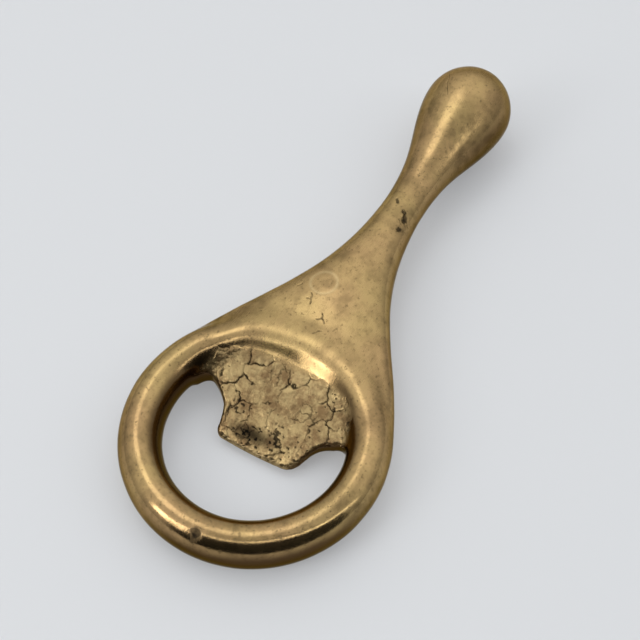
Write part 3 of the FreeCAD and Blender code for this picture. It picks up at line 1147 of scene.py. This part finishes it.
@dataclass(frozen=True)
class AgedBrass:
    """Old satin brass: mottled colour, brown tarnish, painted shade on lower faces, grime in
    hollows, pores and scratches.
    """

    smooth_roughness: float = 0.11
    mottled_roughness: float = 0.09
    rough_extra: float = 0.22
    satin_extra: float = 0.12
    grime_extra: float = 0.6
    bump_strength: float = 0.12
    bump_distance: float = 0.00006

    def material(self) -> bpy.types.Material:
        """Build the node material.

        Returns:
            The material, which reads the masks stored on the casting.
        """
        material = bpy.data.materials.new("aged_cast_brass")
        n = Nodes(material)
        place = n.add("ShaderNodeTexCoord").outputs["Object"]
        broad = n.noise(place, 55.0, 3.0)
        mottle = n.noise(place, 230.0, 5.0, 0.65)
        cloud = n.reckon("ADD", mottle, n.reckon("MULTIPLY", broad, 0.6))
        speck = n.noise(place, 1500.0, 3.0, 0.6)
        speck = n.reckon("ADD", speck, n.reckon("MULTIPLY", cloud, 0.12))
        spots = n.ease(speck, 0.69, 0.77, 0.0, 0.75)
        turned = n.add("ShaderNodeMapping", Vector=place, Rotation=(0.0, 0.0, 0.5),
                       Scale=(1.0, 14.0, 1.0)).outputs[0]
        scratch = n.ease(n.noise(turned, 420.0, 3.0), 0.35, 0.65, -0.03, 0.05)
        n.add("ShaderNodeOutputMaterial", Surface=n.add(
            "ShaderNodeBsdfPrincipled", Base__Color=self.colour(n, place, broad, cloud, spots),
            Metallic=1.0, Roughness=self.roughness(n, mottle, scratch),
            Normal=self.pores(n, place, spots, scratch),
            Specular__Tint=Tint.EDGE_SHEEN.rgba).outputs[0])
        return material

    def colour(self, n: Nodes, place: Socket, broad: Socket, cloud: Socket,
               spots: Socket) -> Socket:
        """Coats of tarnish, painted shade with dark tarnish, and grime laid one over another on the
        brass.

        Args:
            n: the material's nodes.
            place: object coordinates.
            broad: broad noise between two tones of brass.
            cloud: mottled noise of the tarnish.
            spots: small dark spots.

        Returns:
            The base colour.
        """
        mark = n.mask("mark")
        smut = n.ease(n.noise(place, 480.0, 7.0, 0.7), 0.48, 0.72, 0.0, 0.5)
        cast = n.blend(n.ease(n.noise(place, 260.0, 6.0, 0.75), 0.42, 0.6), Tint.AS_CAST.rgba,
                       Tint.AS_CAST_BROWN.rgba)
        colour = n.blend(n.ease(broad, 0.38, 0.62), Tint.BRASS.rgba, Tint.COPPERY.rgba)
        for cover, coat in (
                (n.ease(cloud, 0.74, 1.04, 0.0, 0.5), Tint.TARNISH.rgba),
                (n.mask("stain"), Tint.TARNISH.rgba),
                (smut, Tint.TARNISH.rgba),
                (spots, Tint.TARNISH.rgba),
                (n.mask("rough"), cast),
                (n.ease(mark, 0.0, 1.0, 0.0, 0.5), Tint.BARE.rgba),
                (n.ease(mark, 0.0, -1.0, 0.0, 0.6), Tint.TARNISH.rgba),
                # Painted shade on lower, camera-facing faces and the bulb's side, and dark tarnish
                # in the eye.
                (n.mask("patina_and_shade"), Tint.PATINA_AND_SHADE.rgba),
                (n.reckon("MULTIPLY", n.mask("rub"), 0.6), Tint.BARE.rgba),
                (n.mask("grime"), Tint.GRIME.rgba)):
            colour = n.blend(cover, colour, coat)
        return colour

    def roughness(self, n: Nodes, mottle: Socket, scratch: Socket) -> Socket:
        """Satin roughness, more on the raw casting, on handled places and in grime.

        Args:
            n: the material's nodes.
            mottle: mottled noise.
            scratch: fine lines.

        Returns:
            The roughness.
        """
        value = n.ease(mottle, 0.35, 0.7, self.smooth_roughness,
                       self.smooth_roughness + self.mottled_roughness)
        value = n.reckon("ADD", value, scratch)
        for name, extra in (("rough", self.rough_extra), ("satin", self.satin_extra),
                            ("grime", self.grime_extra)):
            value = n.reckon("ADD", value, n.reckon("MULTIPLY", n.mask(name), extra))
        return value

    def pores(self, n: Nodes, place: Socket, spots: Socket, scratch: Socket) -> Socket:
        """Fine bump of grain, sunk spots and scratches.

        Args:
            n: the material's nodes.
            place: object coordinates.
            spots: small dark spots.
            scratch: fine lines.

        Returns:
            The bent normal.
        """
        relief = n.reckon("ADD", n.noise(place, 2600.0, 2.0), n.reckon("MULTIPLY", spots, -1.0))
        relief = n.reckon("ADD", relief, n.reckon("MULTIPLY", scratch, 4.0))
        return n.add("ShaderNodeBump", Height=relief, Strength=self.bump_strength,
                     Distance=self.bump_distance).outputs[0]


@dataclass(frozen=True)
class PaleTable:
    """Plain matt table under the opener; it also glows a little, painted light that lifts the
    shadows on it.
    """

    half_size: float = 1.5
    roughness: float = 0.75
    shadow_lift_glow: float = 0.56

    def build(self) -> bpy.types.Object:
        """Make the table plane with its material.

        Returns:
            The table.
        """
        material = bpy.data.materials.new("pale_table")
        n = Nodes(material)
        # Painted light: the table's emission lightens the shadows cast on it.
        n.add("ShaderNodeOutputMaterial", Surface=n.add(
            "ShaderNodeBsdfPrincipled", Base__Color=Tint.TABLE.rgba, Roughness=self.roughness,
            Emission__Color=Tint.TABLE.rgba, Emission__Strength=self.shadow_lift_glow).outputs[0])
        mesh = bpy.data.meshes.new("table")
        s = self.half_size
        mesh.from_pydata([(-s, -s, 0), (s, -s, 0), (s, s, 0), (-s, s, 0)], [], [(0, 1, 2, 3)])
        mesh.materials.append(material)
        table = bpy.data.objects.new("table", mesh)
        bpy.context.collection.objects.link(table)
        return table


@dataclass(frozen=True)
class RestingPose:
    """How the casting lies: the ring's front and the bulb on the table."""

    ring: RingBar
    bulb_x: float = 99.5
    bulb_radius: float = 10.5

    def matrix(self) -> Matrix:
        """Turn and shift from the maker's axes to the frame.

        The lean is the angle whose sine is the difference of the two heights over the distance
        between the ring's front and the bulb.

        Returns:
            The matrix, in millimetres.
        """
        lean = math.asin((self.bulb_radius - self.ring.half_thickness)
                         / (self.bulb_x + self.ring.line_radius))
        c, s = math.cos(lean), math.sin(lean)
        down = math.hypot(self.ring.half_thickness * c, self.ring.half_width * s)
        ahead = math.hypot(self.ring.half_width * c, self.ring.half_thickness * s)
        span = (self.bulb_x - self.ring.line_radius) * c + self.bulb_radius - ahead
        shift = Matrix.Translation((-span / 2, 0.0, self.ring.line_radius * s + down))
        return shift @ Matrix.Rotation(-lean, 4, "Y")

    def lay(self, p: Array) -> Array:
        """Move points from the maker's axes to the frame, in metres."""
        m = np.array(self.matrix())
        return (p @ m[:3, :3].T + m[:3, 3]) * MM


@dataclass
class OpenerCasting:
    """The whole opener, one mesh."""

    name: str = "opener_casting_brass"
    cell: float = 0.6
    refinements: int = 2
    shape: CastingShape = field(default_factory=CastingShape)
    finish: AgedBrass = AgedBrass()

    def __post_init__(self) -> None:
        """Make its surface and pose."""
        self.surface = CastSurface(self.shape)
        self.pose = RestingPose(self.shape.ring)

    def build(self) -> bpy.types.Object:
        """Make the mesh: the skin, finer where it has detail, raised by the surface's height.

        Returns:
            The mesh object, with its masks stored.
        """
        points, faces = self.shape.skin(self.cell)
        points = self.shape.settle(points, 3)
        for _ in range(self.refinements):
            slope = self.shape.normal(points)[1]
            wanted = self.surface.detail_wanted(points, slope)
            points, faces = split_edges(points, faces, wanted[faces].any(1))
            points = self.shape.settle(points, 2)
        slope = self.shape.normal(points)[1]
        outward = slope / np.linalg.norm(slope, axis=1)[:, None]
        lift, masks = self.surface.height(points, outward)
        points = self.pose.lay(points + outward * lift[:, None])
        mesh = bpy.data.meshes.new(self.name)
        mesh.from_pydata(points, [], faces.tolist())
        mesh.polygons.foreach_set("use_smooth", np.ones(len(faces), bool))
        for name, values in masks.items():
            layer = mesh.attributes.new(name, "FLOAT", "POINT")
            layer.data.foreach_set("value", values.astype(np.float32))
        mesh.update()
        casting = bpy.data.objects.new(self.name, mesh)
        bpy.context.collection.objects.link(casting)
        return casting

    def dress(self, casting: bpy.types.Object) -> None:
        """Give it its finish and its place in the frame.

        Args:
            casting: the mesh object.
        """
        casting.data.materials.append(self.finish.material())
        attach(casting, "root")
        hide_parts("opener_casting")


@dataclass(frozen=True)
class Softbox:
    """A square area light that looks at the opener."""

    name: str
    place: Vector
    size: float
    power: float

    def build(self, target: Vector) -> bpy.types.Object:
        """Make the light and turn it to the target.

        Args:
            target: where it points.

        Returns:
            The light.
        """
        lamp = bpy.data.lights.new(self.name, "AREA")
        lamp.shape = "SQUARE"
        lamp.size = self.size
        lamp.energy = self.power
        light = bpy.data.objects.new(self.name, lamp)
        light.location = self.place
        light.rotation_euler = (target - light.location).to_track_quat("-Z", "Y").to_euler()
        bpy.context.collection.objects.link(light)
        return light


@dataclass(frozen=True)
class ViewPoint:
    """Where the camera stands, in the maker's axes and degrees."""

    azimuth: float = -59.18
    elevation: float = 57.51
    roll: float = -2.09
    distance: float = 276.87
    target: tuple[float, float, float] = (30.84, 2.1, 0.0)
    lens: float = 72.44
    sensor: float = 36.0

    def build(self, pose: RestingPose) -> bpy.types.Object:
        """Make the camera and lay it down with the casting.

        Args:
            pose: how the casting lies.

        Returns:
            The camera.
        """
        az, el, roll = (math.radians(a) for a in (self.azimuth, self.elevation, self.roll))
        back = Vector((math.sin(az) * math.cos(el), -math.cos(az) * math.cos(el), math.sin(el)))
        right = Vector((math.cos(az), math.sin(az), 0.0))
        up = back.cross(right)
        across = math.cos(roll) * right + math.sin(roll) * up
        above = math.cos(roll) * up - math.sin(roll) * right
        turn = Matrix((across, above, back)).transposed().to_4x4()
        place = Matrix.Translation(Vector(self.target) + back * self.distance)
        world = pose.matrix() @ place @ turn
        world.translation *= MM
        data = bpy.data.cameras.new("camera")
        data.lens = self.lens
        data.sensor_width = self.sensor
        data.clip_start = 0.01
        camera = bpy.data.objects.new("camera", data)
        camera.matrix_world = world
        bpy.context.collection.objects.link(camera)
        bpy.context.scene.camera = camera
        return camera


@dataclass(frozen=True)
class Room:
    """Daylit room: pale walls and ceiling, dark behind the camera, and a window beside it.

    Directions are turns to the right of straight ahead of the camera, and heights above the
    table, both in degrees.
    """

    ahead: float = 30.82
    low_glow: float = 0.52
    high_glow: float = 1.22
    dark_turn: float = 180.0
    dark_height: float = 12.0
    dark_reach: float = 57.0
    dark_glow: float = 0.05
    shade_turn: float = 145.0
    shade_height: float = 68.0
    shade_reach: float = 30.0
    shade_glow: float = 0.66
    ceiling_turn: float = -36.0
    ceiling_height: float = 67.0
    ceiling_reach: float = 17.0
    ceiling_glow: float = 1.25
    band_turn: float = 5.0
    band_height: float = 61.0
    band_edge: tuple[float, float] = (0.02, 0.075)
    band_glow: float = 3.0
    window_turn: float = -118.0
    window_height: float = 32.0
    window_distance: float = 0.9
    window_size: float = 0.32
    window_power: float = 1.2

    def heading(self, turn: float, height: float) -> tuple[float, float, float]:
        """Unit vector for a turn and a height."""
        t, h = math.radians(self.ahead - turn), math.radians(height)
        return (math.cos(t) * math.cos(h), math.sin(t) * math.cos(h), math.sin(h))

    def toward(self, n: Nodes, look: Socket, turn: float, height: float) -> Socket:
        """Cosine of the angle between the look and a direction.

        Args:
            n: the world's nodes.
            look: the direction that is looked in.
            turn: the other direction's turn.
            height: its height.

        Returns:
            The cosine.
        """
        node = n.add("ShaderNodeVectorMath")
        node.operation = "DOT_PRODUCT"
        n.feed(node, 0, look)
        n.feed(node, 1, self.heading(turn, height))
        return node.outputs["Value"]

    def glow(self, n: Nodes) -> Socket:
        """Brightness of the room in each direction.

        It rises with height, is dimmed in the dark and the shaded cone, and the band and the
        ceiling's bright patch are added to it.

        Args:
            n: the world's nodes.

        Returns:
            The brightness.
        """
        look = n.add("ShaderNodeTexCoord").outputs["Generated"]
        height = n.add("ShaderNodeSeparateXYZ", Vector=look).outputs["Z"]
        total = n.ease(height, -0.05, 1.0, self.low_glow, self.high_glow, True)
        edge = math.cos(math.radians(self.dark_reach))
        dark = n.ease(self.toward(n, look, self.dark_turn, self.dark_height),
                      edge - 0.03, edge + 0.04, 1.0, self.dark_glow, True)
        edge = math.cos(math.radians(self.shade_reach))
        shade = n.ease(self.toward(n, look, self.shade_turn, self.shade_height),
                       edge - 0.03, edge + 0.06, 1.0, self.shade_glow, True)
        total = n.reckon("MULTIPLY", n.reckon("MULTIPLY", total, dark), shade)
        across = n.reckon("ABSOLUTE", self.toward(n, look, self.band_turn, 90.0 - self.band_height))
        band = n.ease(across, *self.band_edge, self.band_glow, 0.0, True)
        part = n.ease(self.toward(n, look, 180.0, 30.0), 0.42, 0.6, 0.0, 1.0, True)
        total = n.reckon("ADD", total, n.reckon("MULTIPLY", band, part))
        patch = n.ease(self.toward(n, look, self.ceiling_turn, self.ceiling_height),
                       math.cos(math.radians(self.ceiling_reach)),
                       math.cos(math.radians(0.3 * self.ceiling_reach)), 0.0, self.ceiling_glow,
                       True)
        return n.reckon("ADD", total, patch)

    def build(self) -> bpy.types.Object:
        """Make the world and the window's light.

        Returns:
            The light.
        """
        world = bpy.data.worlds.new("room")
        bpy.context.scene.world = world
        n = Nodes(world)
        back = n.add("ShaderNodeBackground", Color=Tint.DAYLIGHT.rgba, Strength=self.glow(n))
        n.add("ShaderNodeOutputWorld", Surface=back.outputs[0])
        window = Vector(self.heading(self.window_turn, self.window_height)) * self.window_distance
        light = Softbox("window", window, self.window_size, self.window_power)
        return light.build(Vector((0.0, 0.0, 0.0)))


def main() -> None:
    """Build the opener and its stage, and report each piece."""
    logging.basicConfig(level=logging.INFO, format="%(message)s")
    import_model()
    opener = OpenerCasting()
    casting = opener.build()
    opener.dress(casting)
    LOG.info("%s: %d triangles", casting.name, len(casting.data.polygons))
    LOG.info("stage: %s", PaleTable().build().name)
    LOG.info("light: %s", Room().build().name)
    bpy.context.scene.view_settings.view_transform = "Standard"
    LOG.info("view: %s", ViewPoint().build(opener.pose).name)


if __name__ == "__main__":
    main()
